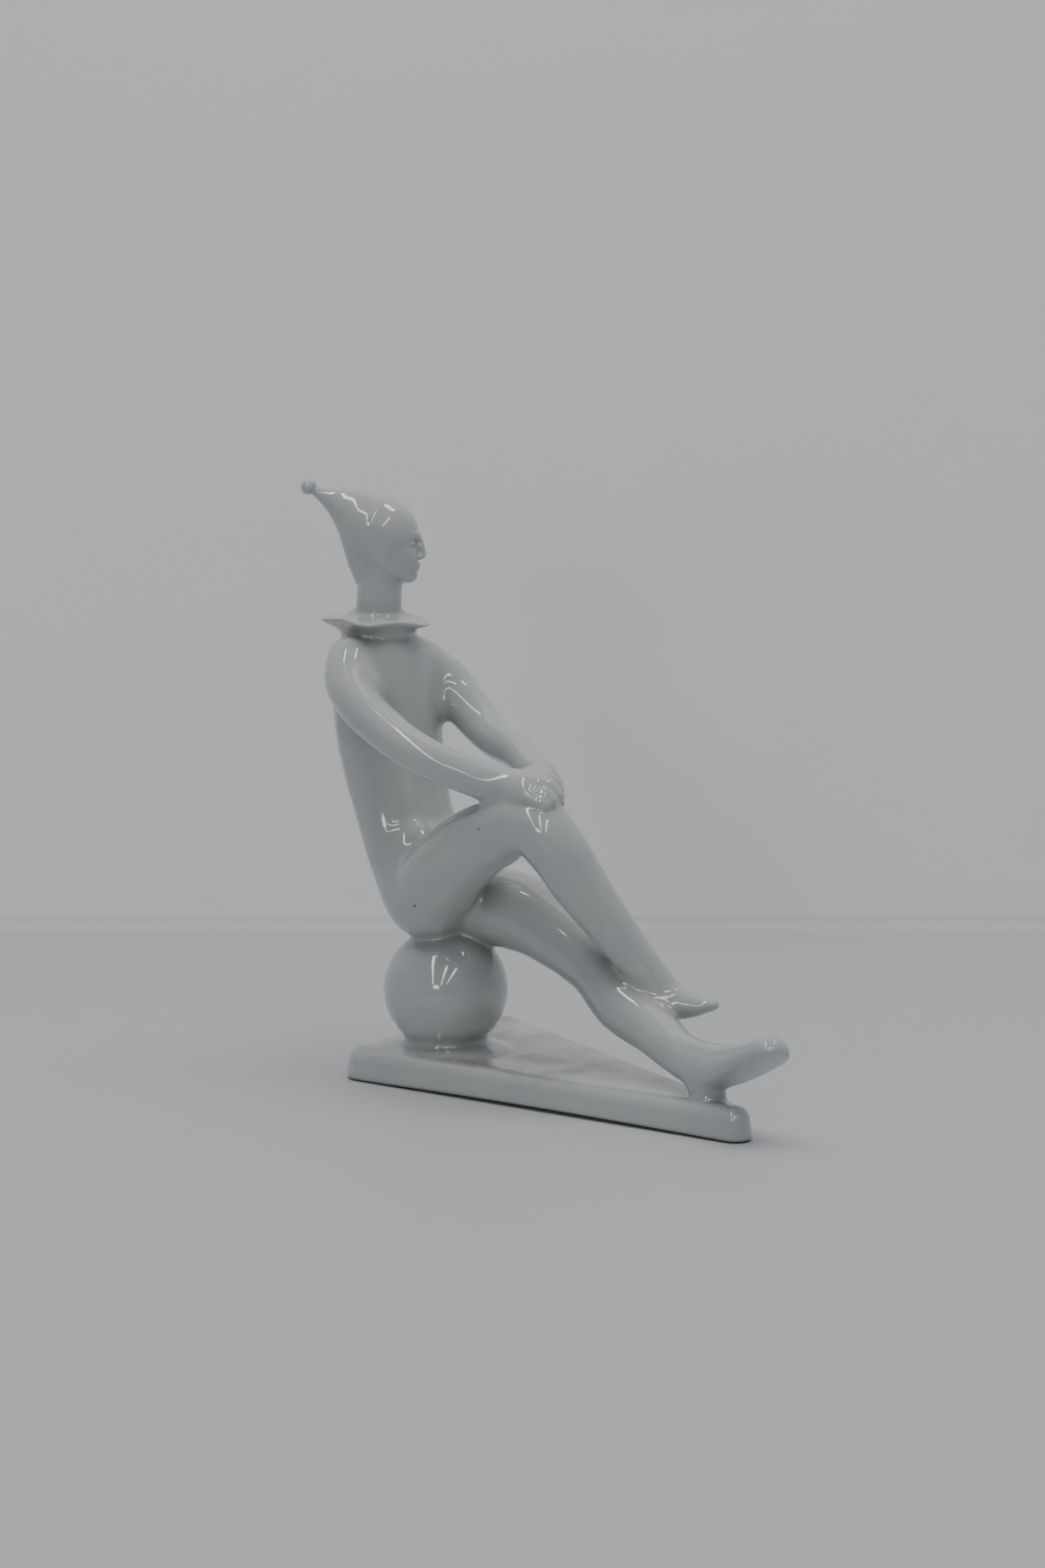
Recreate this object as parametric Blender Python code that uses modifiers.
"""Seated clown on a ball, a slip-cast porcelain figurine, as the separate casts that are luted together.

Sizes and places are in millimetres and become metres where a mesh is made. The origin lies on the
underside of the base plate, straight below the centre of the ball. +X runs from the ball to the tip
of the plate, where the standing foot is, +Y is the figure's left and +Z is up.
"""

import math

import bmesh
import bpy
from mathutils import Matrix, Vector

MM = 0.001

# Casting: every joint holds a thin layer of slip, and the thick casts are drained hollow.
SLIP_GAP = 0.3
WALL = 3.0
VENT_RADIUS = 2.0
SEAT_VENT_RADIUS = 4.0

# How far a cutter runs past what it cuts, and how far a long vent's cutter does.
OVERRUN = 1.0
VENT_REACH = 20.0
SEAT_VENT_REACH = 6.0

# Base plate: a wedge with three rounded corners, hollow between its top and its flat underside.
PLATE_HEIGHT = 11.5
PLATE_NEAR_CORNER = (-29.0, -26.5)
PLATE_FAR_CORNER = (-25.0, 60.5)
PLATE_TIP = (149.0, -1.0)
PLATE_CORNER_RADII = (7.0, 8.0, 4.5)
PLATE_FOOT_ROUNDING = 1.0
PLATE_SHOULDER = 3.0
PLATE_DRAFT = 0.6
PLATE_ROUND_HEIGHT = 0.9
PLATE_ROUND_INSET = 1.8
PLATE_TOP_INSET = 4.0
PLATE_LEAST_CORNER = 0.4
PLATE_VENT = (60.0, 8.0)

# How much further in than the wall the plate's hollow starts, at its foot and at its top.
PLATE_HOLLOW_INSETS = (0.5, 1.5)

# The block that cuts the standing foot off level, from its low corner to its far edges.
FLOOR_LOW = (-80.0, -80.0, -20.0)
FLOOR_FAR = (200.0, 80.0)

# Ball.
BALL_RADIUS = 21.5
BALL_SINK = 1.0
BALL_HEIGHT = PLATE_HEIGHT + BALL_RADIUS - BALL_SINK
BALL_SIDES = 28
BALL_MERGE = 0.01

# Torso: places on its centre line with half its width and half its depth there, seat to neck.
TORSO_TURN = -10.0
SEAT = (-6.0, 0.0, 58.0, 17.0, 14.0)
HIPS = (-9.5, 0.0, 67.0, 20.0, 15.5)
BELLY = (-14.0, 0.0, 79.0, 19.5, 14.0)
WAIST = (-18.5, 0.0, 92.0, 18.5, 12.5)
RIBS = (-23.5, 0.0, 109.0, 20.5, 13.0)
CHEST = (-26.5, -0.5, 127.0, 22.0, 14.0)
SHOULDERS = (-27.0, -1.0, 138.0, 22.5, 12.0)
COLLAR = (-29.0, 0.0, 146.0, 18.5, 10.0)
NECK_ROOT = (-31.0, 0.0, 150.5, 13.0, 7.5)
RIGHT_HIP_VENT_RISE = 3.0

# Right leg, drawn up and crossed over the other: the same five values for each place.
RIGHT_HIP = (-6.0, -8.0, 64.0, 14.5, 13.5)
RIGHT_THIGH = (14.0, -11.0, 80.0, 13.5, 13.0)
RIGHT_LOW_THIGH = (33.0, -12.0, 91.5, 11.5, 11.8)
RIGHT_KNEE = (50.5, -11.5, 98.0, 9.5, 10.5)
RIGHT_UNDER_KNEE = (57.8, -9.0, 90.0, 9.0, 10.2)
RIGHT_CALF = (64.8, -2.0, 74.0, 8.4, 9.6)
RIGHT_SHIN = (75.0, 7.5, 56.5, 6.8, 7.4)
RIGHT_ANKLE = (86.0, 15.5, 40.0, 5.2, 5.2)
RIGHT_HEEL = (86.5, 16.5, 35.5, 4.6, 4.4)
RIGHT_INSTEP = (94.0, 18.0, 35.0, 4.4, 4.6)
RIGHT_TOES = (105.0, 20.0, 38.5, 3.2, 1.9)

# Left leg, stretched out with its heel on the tip of the plate.
LEFT_HIP = (-6.0, 8.0, 60.0, 13.5, 12.5)
LEFT_THIGH = (14.0, 11.5, 59.5, 13.0, 12.5)
LEFT_LOW_THIGH = (34.0, 13.0, 56.5, 11.0, 11.5)
LEFT_KNEE = (57.0, 12.0, 46.5, 9.2, 9.5)
LEFT_CALF = (76.0, 9.0, 33.5, 9.4, 9.4)
LEFT_SHIN = (93.5, 5.5, 26.5, 7.6, 7.8)
LEFT_ANKLE = (110.0, 1.0, 20.5, 6.6, 7.4)
LEFT_HEEL = (114.0, 0.0, 16.5, 6.0, 6.0)
LEFT_INSTEP = (127.5, -2.5, 22.5, 6.6, 7.6)
LEFT_TOES = (147.0, -4.5, 30.4, 6.4, 6.0)
LEFT_SOLE_POST = (119.5, -1.5)
SOLE_POST_RADIUS = 5.6

# Arms and hands.
RIGHT_SHOULDER = (-28.0, -21.5, 143.5, 6.8, 6.8)
RIGHT_UPPER_ARM = (-13.5, -26.5, 132.5, 7.0, 7.2)
RIGHT_ELBOW = (13.0, -27.5, 118.5, 6.2, 6.6)
RIGHT_FOREARM = (30.0, -21.0, 112.0, 5.6, 5.6)
RIGHT_WRIST = (40.0, -15.0, 108.5, 5.0, 5.8)
RIGHT_HAND = (48.0, -11.0, 108.0)
RIGHT_HAND_HALF = (10.5, 7.0, 9.0)
LEFT_SHOULDER = (-21.5, 20.0, 139.5, 7.4, 7.4)
LEFT_UPPER_ARM = (-10.0, 22.5, 129.5, 7.6, 7.6)
LEFT_ELBOW = (7.0, 20.0, 120.5, 6.8, 6.8)
LEFT_FOREARM = (27.0, 10.5, 115.0, 5.6, 5.6)
LEFT_WRIST = (40.0, 2.5, 112.5, 4.8, 5.0)
LEFT_HAND = (47.5, -1.5, 109.0)
LEFT_HAND_HALF = (9.5, 8.0, 7.0)

# Ruff: half its width at the neck of the torso and at the rim, and the heights between. One of its
# points faces forwards and to the right, and its foot is tucked in below the collar.
RUFF_FOOT_RADIUS = 13.6
RUFF_RIM_RADIUS = 18.0
RUFF_POINT = 1.4
RUFF_POINTS = 5
RUFF_SIDES_PER_POINT = 8
RUFF_TURN = -40.0
RUFF_TUCK = 3.0
RUFF_NECK_FIT = 1.0
RUFF_FOOT_HEIGHT = 153.0
RUFF_RIM_HEIGHT = 158.8
RUFF_RIM_THICKNESS = 1.2
RUFF_TOP_HEIGHT = 162.5
RUFF_CENTRE = (-32.5, 0.0)

# Head: a skull, a jaw and a plain nose, turned to the figure's left, on a straight neck.
HEAD_TURN = 40.0
HEAD_CENTRE = (-27.5, 0.5, 186.0)
SKULL_HALF = (10.8, 8.8, 12.4)
JAW_OFFSET = (3.4, 0.0, -7.2)
JAW_HALF = (7.6, 6.2, 7.8)
NOSE_OFFSET = (10.2, 0.0, -3.6)
NOSE_HALF = (2.4, 1.4, 3.4)
NOSE_LEAN = -20.0
NECK_FOOT = (-31.5, 0.0, 156.0, 8.4, 8.4)
NECK_MIDDLE = (-31.5, 0.0, 166.0, 7.8, 7.8)
NECK_HEAD = (-30.0, 0.0, 181.0, 7.4, 7.4)

# Cap: a hood over the skull and the nape that runs out to a point with a bobble.
HOOD_THICKNESS = 1.4
CAP_POINT = (-26.2, 0.0, 18.5)
CAP_POINT_HALF = (1.6, 1.6)
CAP_BACK = (-19.5, 0.0, 15.0)
CAP_BACK_HALF = (4.2, 5.2)
CAP_CONE = (-12.5, 0.0, 10.4)
CAP_CONE_HALF = (7.2, 9.4)
CAP_CROWN = (-4.0, 0.0, 2.8)
CAP_NAPE = (-8.0, 0.0, -8.0)
CAP_NAPE_HALF = (4.6, 7.6, 12.0)
CAP_NAPE_LEAN = -8.0
FACE_OPENING = (2.2, 0.0, 2.0)
FACE_OPENING_TILT = 28.0
FACE_OPENING_BLOCK = ((0.0, -30.0, -40.0), (40.0, 30.0, 40.0))
BOBBLE_OFFSET = (-27.8, 0.0, 19.6)
BOBBLE_RADIUS = 2.8

RING_SIDES = 16
RINGS_PER_SPAN = 2
CAP_RINGS = 3

PORCELAIN = (0.80, 0.82, 0.82, 1.0)


def clear_scene():
    for found in list(bpy.data.objects):
        bpy.data.objects.remove(found)


def new_collection(name):
    made = bpy.data.collections.new(name)
    bpy.context.scene.collection.children.link(made)
    return made


def porcelain():
    made = bpy.data.materials.new("glazed_porcelain")
    made.use_nodes = True
    shader = made.node_tree.nodes["Principled BSDF"]
    shader.inputs["Base Color"].default_value = PORCELAIN
    shader.inputs["Roughness"].default_value = 0.15
    shader.inputs["Metallic"].default_value = 0.0
    shader.inputs["Coat Weight"].default_value = 0.6
    return made


# ---------------------------------------------------------------- shapes


def curve_point(values, place):
    """The point at `place` on a smooth curve through the rows of `values`, whole numbers at the rows."""
    last = len(values) - 1
    index = min(int(place), last - 1)
    share = place - index
    rows = [values[max(index - 1, 0)], values[index], values[index + 1], values[min(index + 2, last)]]
    point = []
    for before, start, end, after in zip(*rows):
        slope = end - before
        bend = 2 * before - 5 * start + 4 * end - after
        twist = 3 * (start - end) + after - before
        point.append(start + 0.5 * share * (slope + share * (bend + share * twist)))
    return point


def rings_of(stations, grow, sideways):
    """Rings of a limb, each a centre, a side vector and a front vector, with a rounded cap at both ends."""
    spans = len(stations) - 1
    places = [step / RINGS_PER_SPAN for step in range(spans * RINGS_PER_SPAN + 1)]
    points = [curve_point(stations, place) for place in places]
    centres = [Vector(point[:3]) for point in points]
    rings = []
    for index, point in enumerate(points):
        ahead = centres[min(index + 1, len(points) - 1)]
        behind = centres[max(index - 1, 0)]
        along = (ahead - behind).normalized()
        side = (sideways - along * sideways.dot(along)).normalized()
        front = along.cross(side)
        rings.append((centres[index], side * (point[3] + grow), front * (point[4] + grow), along))
    first, last = rings[0], rings[-1]
    return rounded_end(first, -1)[::-1] + rings + rounded_end(last, 1)


def rounded_end(ring, direction):
    centre, side, front, along = ring
    reach = min(side.length, front.length)
    rings = []
    for step in range(1, CAP_RINGS):
        angle = math.pi / 2 * step / CAP_RINGS
        away = along * (direction * reach * math.sin(angle))
        rings.append((centre + away, side * math.cos(angle), front * math.cos(angle), along))
    pole = centre + along * (direction * reach)
    rings.append((pole, None, None, along))
    return rings


def limb(stations, grow=0.0, sideways=Vector((0, 1, 0))):
    """A closed limb swept along its stations, each a place with half a width and half a depth."""
    made = bmesh.new()
    loops = []
    for centre, side, front, _ in rings_of(stations, grow, sideways):
        if side is None:
            loops.append([made.verts.new(centre * MM)])
            continue
        loop = []
        for step in range(RING_SIDES):
            angle = 2 * math.pi * step / RING_SIDES
            loop.append(made.verts.new((centre + side * math.cos(angle) + front * math.sin(angle)) * MM))
        loops.append(loop)
    bridge(made, loops)
    return made


def bridge(made, loops):
    """Joins loops of equal length in order, a loop of one vertex being a pole."""
    for low, high in zip(loops, loops[1:]):
        count = max(len(low), len(high))
        for step in range(count):
            after = (step + 1) % count
            below = [low[step % len(low)], low[after % len(low)]]
            above = [high[after % len(high)], high[step % len(high)]]
            made.faces.new(list(dict.fromkeys(below + above)))
    bmesh.ops.recalc_face_normals(made, faces=made.faces)


def ellipsoid(centre, half_sizes, turn=0.0, grow=0.0, pitch=0.0, sides=16):
    made = bmesh.new()
    bmesh.ops.create_uvsphere(made, u_segments=sides, v_segments=sides // 2 + 2, radius=1.0)
    sizes = Matrix.Diagonal([(half + grow) * MM for half in half_sizes]).to_4x4()
    turned = Matrix.Rotation(math.radians(turn), 4, "Z") @ Matrix.Rotation(math.radians(pitch), 4, "Y")
    made.transform(Matrix.Translation(Vector(centre) * MM) @ turned @ sizes)
    return made


def rod(start, end, radius, sides=16):
    made = bmesh.new()
    run = Vector(end) - Vector(start)
    bmesh.ops.create_cone(
        made, cap_ends=True, segments=sides, radius1=radius * MM, radius2=radius * MM, depth=run.length * MM
    )
    turned = run.to_track_quat("Z", "Y").to_matrix().to_4x4()
    made.transform(Matrix.Translation((Vector(start) + Vector(end)) / 2 * MM) @ turned)
    return made


def slab(low, high):
    made = bmesh.new()
    bmesh.ops.create_cube(made, size=1.0)
    sizes = Matrix.Diagonal([(b - a) * MM for a, b in zip(low, high)]).to_4x4()
    made.transform(Matrix.Translation((Vector(low) + Vector(high)) / 2 * MM) @ sizes)
    return made


def rounded_outline(corners, radii, inset, steps=8):
    """Points round a convex outline whose corners are arcs, moved inwards by `inset`."""
    points = []
    count = len(corners)
    for index in range(count):
        corner = Vector(corners[index])
        to_last = (Vector(corners[index - 1]) - corner).normalized()
        to_next = (Vector(corners[(index + 1) % count]) - corner).normalized()
        half_angle = to_last.angle(to_next) / 2
        centre = corner + (to_last + to_next).normalized() * radii[index] / math.sin(half_angle)
        radius = max(radii[index] - inset, PLATE_LEAST_CORNER)
        start = -to_next.orthogonal() if to_next.orthogonal().dot(to_last) > 0 else to_next.orthogonal()
        end = -to_last.orthogonal() if to_last.orthogonal().dot(to_next) > 0 else to_last.orthogonal()
        for step in range(steps + 1):
            outwards = end.lerp(start, step / steps).normalized()
            points.append(centre + outwards * radius)
    return points


def plate(levels):
    """A wedge built up from its outline at each level, a height and how far the outline is inset there."""
    made = bmesh.new()
    corners = (PLATE_NEAR_CORNER, PLATE_TIP, PLATE_FAR_CORNER)
    radii = (PLATE_CORNER_RADII[0], PLATE_CORNER_RADII[2], PLATE_CORNER_RADII[1])
    loops = []
    for height, inset in levels:
        outline = rounded_outline(corners, radii, inset)
        loops.append([made.verts.new(Vector((x, y, height)) * MM) for x, y in outline])
    bridge(made, loops)
    made.faces.new(loops[0])
    made.faces.new(loops[-1])
    bmesh.ops.recalc_face_normals(made, faces=made.faces)
    return made


# ---------------------------------------------------------------- forms, each a list of solids


def torso_sideways():
    return Matrix.Rotation(math.radians(TORSO_TURN), 3, "Z") @ Vector((0, 1, 0))


def torso_solids(grow=0.0):
    line = [SEAT, HIPS, BELLY, WAIST, RIBS, CHEST, SHOULDERS, COLLAR, NECK_ROOT]
    return [limb(line, grow, torso_sideways())]


def torso_hollow():
    x, y, z, width, depth = SEAT
    above_seat = (x, y, z + WALL, width, depth)
    line = [above_seat, HIPS, BELLY, WAIST, RIBS, CHEST, SHOULDERS]
    return [limb(line, -WALL, torso_sideways())]


def right_leg_solids(grow=0.0):
    line = [RIGHT_HIP, RIGHT_THIGH, RIGHT_LOW_THIGH, RIGHT_KNEE, RIGHT_UNDER_KNEE, RIGHT_CALF, RIGHT_SHIN]
    foot = [RIGHT_HEEL, RIGHT_INSTEP, RIGHT_TOES]
    return [limb(line + [RIGHT_ANKLE], grow), limb(foot, grow)]


def left_leg_solids(grow=0.0):
    line = [LEFT_HIP, LEFT_THIGH, LEFT_LOW_THIGH, LEFT_KNEE, LEFT_CALF, LEFT_SHIN, LEFT_ANKLE]
    foot = [LEFT_HEEL, LEFT_INSTEP, LEFT_TOES]
    return [limb(line, grow), limb(foot, grow)]


def ball_solids(grow=0.0):
    return [ellipsoid((0, 0, BALL_HEIGHT), [BALL_RADIUS] * 3, grow=grow, sides=BALL_SIDES)]


def hand_solids(centre, half_sizes, grow=0.0):
    return [ellipsoid(centre, half_sizes, grow=grow)]


def head_place(offset):
    return Vector(HEAD_CENTRE) + Matrix.Rotation(math.radians(HEAD_TURN), 3, "Z") @ Vector(offset)


def neck_solids(grow=0.0):
    return [limb([NECK_FOOT, NECK_MIDDLE, NECK_HEAD], grow)]


def face_solids(grow=0.0):
    return [
        ellipsoid(HEAD_CENTRE, SKULL_HALF, HEAD_TURN, grow),
        ellipsoid(head_place(JAW_OFFSET), JAW_HALF, HEAD_TURN, grow),
        ellipsoid(head_place(NOSE_OFFSET), NOSE_HALF, HEAD_TURN, grow, pitch=NOSE_LEAN),
    ]


def cap_solids(grow=0.0):
    hood = HOOD_THICKNESS + grow
    line = [
        (*head_place(CAP_CROWN), SKULL_HALF[1], SKULL_HALF[2]),
        (*head_place(CAP_CONE), *CAP_CONE_HALF),
        (*head_place(CAP_BACK), *CAP_BACK_HALF),
        (*head_place(CAP_POINT), *CAP_POINT_HALF),
    ]
    nape = ellipsoid(head_place(CAP_NAPE), CAP_NAPE_HALF, HEAD_TURN, grow, CAP_NAPE_LEAN)
    return [ellipsoid(HEAD_CENTRE, SKULL_HALF, HEAD_TURN, hood), limb(line, grow), nape]


def bobble_solids(grow=0.0):
    return [ellipsoid(head_place(BOBBLE_OFFSET), [BOBBLE_RADIUS] * 3, grow=grow, sides=12)]


def floor_cutter():
    """Everything up to the top of the plate, and the slip on it."""
    return slab(FLOOR_LOW, (*FLOOR_FAR, PLATE_HEIGHT + SLIP_GAP))


# ---------------------------------------------------------------- pieces


def new_object(name, made, collection):
    mesh = bpy.data.meshes.new(name)
    made.to_mesh(mesh)
    made.free()
    found = bpy.data.objects.new(name, mesh)
    collection.objects.link(found)
    return found


def helper(name, made):
    found = new_object(name, made, bpy.data.collections["cutters"])
    found.hide_render = True
    found.display_type = "WIRE"
    return found


def add_boolean(piece, operation, made, solver):
    count = len(piece.modifiers)
    tool = helper(f"{piece.name}_{operation.lower()}_{count}", made)
    modifier = piece.modifiers.new(tool.name, "BOOLEAN")
    modifier.operation = operation
    modifier.solver = solver
    modifier.object = tool


def cast(name, solids, cuts=(), solver="EXACT"):
    """One cast: its solids joined into one body, then cut back from its neighbours and hollowed."""
    piece = new_object(name, solids[0], bpy.data.collections["figurine"])
    for made in solids[1:]:
        add_boolean(piece, "UNION", made, solver)
    for made in cuts:
        add_boolean(piece, "DIFFERENCE", made, solver)
    finish(piece)
    return piece


def finish(piece):
    piece.data.materials.append(bpy.data.materials["glazed_porcelain"])
    piece.data.shade_smooth()


def make_base_plate():
    top = PLATE_HEIGHT
    outside = [
        (0.0, PLATE_FOOT_ROUNDING),
        (PLATE_FOOT_ROUNDING, 0.0),
        (top - PLATE_SHOULDER, PLATE_DRAFT),
        (top - PLATE_ROUND_HEIGHT, PLATE_ROUND_INSET),
        (top, PLATE_TOP_INSET),
    ]
    low_inset, high_inset = PLATE_HOLLOW_INSETS
    hollow = plate([(WALL, WALL + low_inset), (top - WALL, WALL + high_inset)])
    pour_hole = rod((0, 0, top - WALL - OVERRUN), (0, 0, top + OVERRUN), SEAT_VENT_RADIUS)
    vent = rod((*PLATE_VENT, -OVERRUN), (*PLATE_VENT, WALL + OVERRUN), VENT_RADIUS)
    cast("base_plate", [plate(outside)], [hollow, pour_hole, vent])


def make_ball():
    """A turned shell, open to the plate below and to the torso above."""
    foot = PLATE_HEIGHT + SLIP_GAP - BALL_HEIGHT
    inner = BALL_RADIUS - WALL
    outer_start = math.asin(SEAT_VENT_RADIUS / BALL_RADIUS)
    outer_end = math.acos(foot / BALL_RADIUS)
    inner_start = math.asin(SEAT_VENT_RADIUS / inner)
    inner_end = math.pi - inner_start
    count = BALL_SIDES // 2
    profile = []
    for step in range(count + 1):
        angle = outer_start + (outer_end - outer_start) * step / count
        profile.append((BALL_RADIUS * math.sin(angle), BALL_RADIUS * math.cos(angle)))
    profile.append((SEAT_VENT_RADIUS, foot))
    for step in range(count + 1):
        angle = inner_end + (inner_start - inner_end) * step / count
        profile.append((inner * math.sin(angle), inner * math.cos(angle)))
    made = bmesh.new()
    verts = [made.verts.new(Vector((x, 0, z + BALL_HEIGHT)) * MM) for x, z in profile]
    for start, end in zip(verts, verts[1:] + verts[:1]):
        made.edges.new((start, end))
    piece = new_object("ball", made, bpy.data.collections["figurine"])
    turn = piece.modifiers.new("turn", "SCREW")
    turn.steps = BALL_SIDES
    turn.render_steps = BALL_SIDES
    turn.use_merge_vertices = True
    turn.merge_threshold = BALL_MERGE * MM
    finish(piece)


def make_torso():
    ball_top = BALL_HEIGHT + BALL_RADIUS
    hollow_foot = SEAT[2] + WALL
    seat_vent = rod((0, 0, ball_top - OVERRUN), (0, 0, hollow_foot + SEAT_VENT_REACH), SEAT_VENT_RADIUS)
    neck_vent = rod((NECK_ROOT[0], 0, NECK_ROOT[2] + VENT_REACH), (CHEST[0], 0, CHEST[2]), VENT_RADIUS)
    hip_vents = [
        rod((HIPS[0], 0, HIPS[2] + RIGHT_HIP_VENT_RISE), RIGHT_THIGH[:3], VENT_RADIUS),
        rod((HIPS[0], 0, HIPS[2]), LEFT_THIGH[:3], VENT_RADIUS),
    ]
    cuts = ball_solids(SLIP_GAP) + torso_hollow() + [seat_vent, neck_vent] + hip_vents
    cast("torso", torso_solids(), cuts)


def make_legs():
    left_bore = limb([LEFT_HIP, LEFT_THIGH, LEFT_LOW_THIGH, LEFT_KNEE, LEFT_CALF], -WALL)
    seats = torso_solids(SLIP_GAP) + ball_solids(SLIP_GAP)
    post = rod((*LEFT_SOLE_POST, PLATE_HEIGHT), (*LEFT_SOLE_POST, LEFT_HEEL[2]), SOLE_POST_RADIUS)
    cast("left_leg", left_leg_solids() + [post], seats + [left_bore, floor_cutter()])

    right_bore = limb([RIGHT_HIP, RIGHT_THIGH, RIGHT_LOW_THIGH, RIGHT_KNEE, RIGHT_UNDER_KNEE], -WALL)
    seats = torso_solids(SLIP_GAP) + ball_solids(SLIP_GAP) + left_leg_solids(SLIP_GAP)
    cast("right_leg", right_leg_solids(), seats + [right_bore])


def make_hands():
    knee = right_leg_solids(SLIP_GAP)[:1]
    cast("left_hand", hand_solids(LEFT_HAND, LEFT_HAND_HALF), knee)
    knee = right_leg_solids(SLIP_GAP)[:1]
    under = hand_solids(LEFT_HAND, LEFT_HAND_HALF, SLIP_GAP)
    hand = hand_solids(RIGHT_HAND, RIGHT_HAND_HALF)
    # EXACT leaves open edges where the two hands meet.
    cast("right_hand", hand, knee + under, solver="MANIFOLD")


def make_arms():
    lines = {
        "right_arm": [RIGHT_SHOULDER, RIGHT_UPPER_ARM, RIGHT_ELBOW, RIGHT_FOREARM, RIGHT_WRIST],
        "left_arm": [LEFT_SHOULDER, LEFT_UPPER_ARM, LEFT_ELBOW, LEFT_FOREARM, LEFT_WRIST],
    }
    for name, line in lines.items():
        hands = hand_solids(RIGHT_HAND, RIGHT_HAND_HALF, SLIP_GAP)
        hands += hand_solids(LEFT_HAND, LEFT_HAND_HALF, SLIP_GAP)
        cuts = torso_solids(SLIP_GAP) + hands + right_leg_solids(SLIP_GAP)[:1]
        cast(name, [limb(line)], cuts)


def ruff_loop(made, radius, height, point):
    """One wavy loop of the ruff."""
    loop = []
    sides = RUFF_POINTS * RUFF_SIDES_PER_POINT
    for step in range(sides):
        angle = 2 * math.pi * step / sides
        wave = math.cos(RUFF_POINTS * (angle - math.radians(RUFF_TURN)))
        x, y = Vector(RUFF_CENTRE) + Vector((math.cos(angle), math.sin(angle))) * (radius + point * wave)
        loop.append(made.verts.new(Vector((x, y, height)) * MM))
    return loop


def make_neck_ruff():
    made = bmesh.new()
    rim = RUFF_RIM_RADIUS
    loops = [
        ruff_loop(made, RUFF_FOOT_RADIUS, RUFF_FOOT_HEIGHT - RUFF_TUCK, 0.0),
        ruff_loop(made, RUFF_FOOT_RADIUS, RUFF_FOOT_HEIGHT, 0.0),
        ruff_loop(made, rim, RUFF_RIM_HEIGHT, RUFF_POINT),
        ruff_loop(made, rim, RUFF_RIM_HEIGHT + RUFF_RIM_THICKNESS, RUFF_POINT),
        ruff_loop(made, NECK_MIDDLE[3] + RUFF_NECK_FIT, RUFF_TOP_HEIGHT, 0.0),
    ]
    bridge(made, loops)
    made.faces.new(loops[0])
    made.faces.new(loops[-1])
    bmesh.ops.recalc_face_normals(made, faces=made.faces)
    cast("neck_ruff", [made], torso_solids(SLIP_GAP) + neck_solids(SLIP_GAP))


def make_head():
    hollow = ellipsoid(HEAD_CENTRE, SKULL_HALF, HEAD_TURN, -WALL)
    bore = rod((*NECK_FOOT[:2], NECK_FOOT[2] - VENT_REACH), HEAD_CENTRE, SEAT_VENT_RADIUS)
    cuts = torso_solids(SLIP_GAP) + [hollow, bore]
    # EXACT leaves open edges where the nose, jaw and skull meet.
    cast("head", neck_solids() + face_solids(), cuts, solver="MANIFOLD")


def make_cap():
    """The hood is cut away before the face, and along the skull and neck that it sits on."""
    opening = slab(*FACE_OPENING_BLOCK)
    turned = Matrix.Rotation(math.radians(HEAD_TURN), 4, "Z")
    tilted = Matrix.Rotation(math.radians(FACE_OPENING_TILT), 4, "Y")
    opening.transform(Matrix.Translation(head_place(FACE_OPENING) * MM) @ turned @ tilted)
    cast("cap", cap_solids(), [opening] + face_solids(SLIP_GAP) + neck_solids(SLIP_GAP))
    cast("cap_bobble", bobble_solids(), cap_solids(SLIP_GAP)[1:2])


def main():
    clear_scene()
    new_collection("figurine")
    new_collection("cutters")
    porcelain()
    make_base_plate()
    make_ball()
    make_torso()
    make_legs()
    make_hands()
    make_arms()
    make_neck_ruff()
    make_head()
    make_cap()


main()
